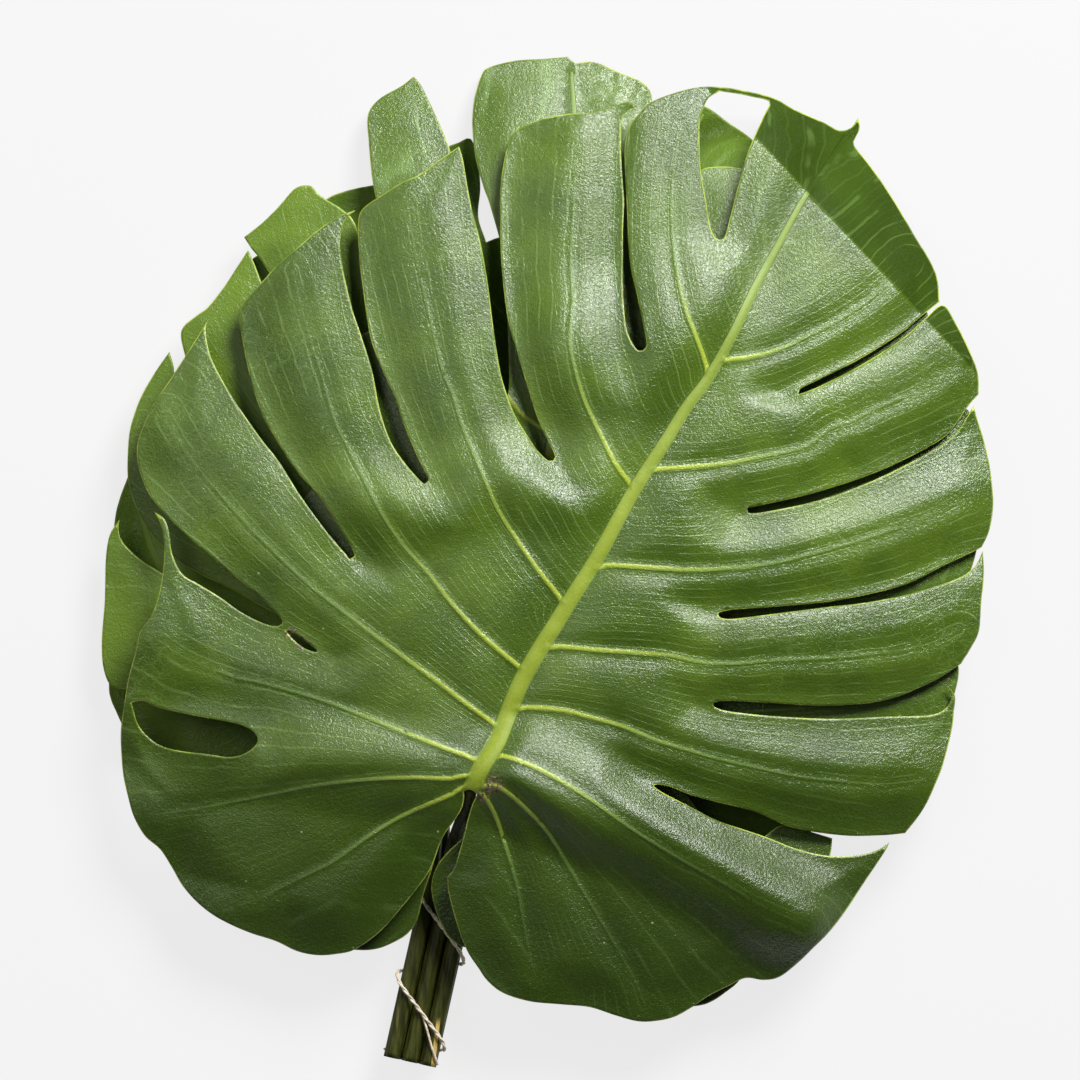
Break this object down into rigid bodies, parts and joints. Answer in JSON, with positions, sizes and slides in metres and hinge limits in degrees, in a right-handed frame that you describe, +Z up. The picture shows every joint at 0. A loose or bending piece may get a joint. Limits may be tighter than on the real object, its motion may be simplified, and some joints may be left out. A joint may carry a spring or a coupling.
{
  "type": "tied bunch of monstera leaves",
  "caption": "Cut monstera leaves with deep lobes, lying face up, their stalks wound together by a thin twisted band.",
  "frame": {"origin": "on the surface that the bunch lies on, under the centre of its bounding box", "axes": "+Z up out of the front leaf's face, +Y from the stalks' cut ends towards the leaves' upper lobes, +X across to the side of the front leaf's tip"},
  "size_m": [0.3754, 0.4267, 0.0591],
  "materials": {
    "front_leaf": "satin deep green leaf with pale veins",
    "back_leaf": "satin mid green leaf",
    "band": "matt cream"
  },
  "bodies": {
    "root": {"leaf_1": "front_leaf", "leaf_2": "back_leaf", "leaf_3": "back_leaf", "leaf_4": "back_leaf", "leaf_5": "back_leaf", "tie": "band"}
  },
  "joints": []
}
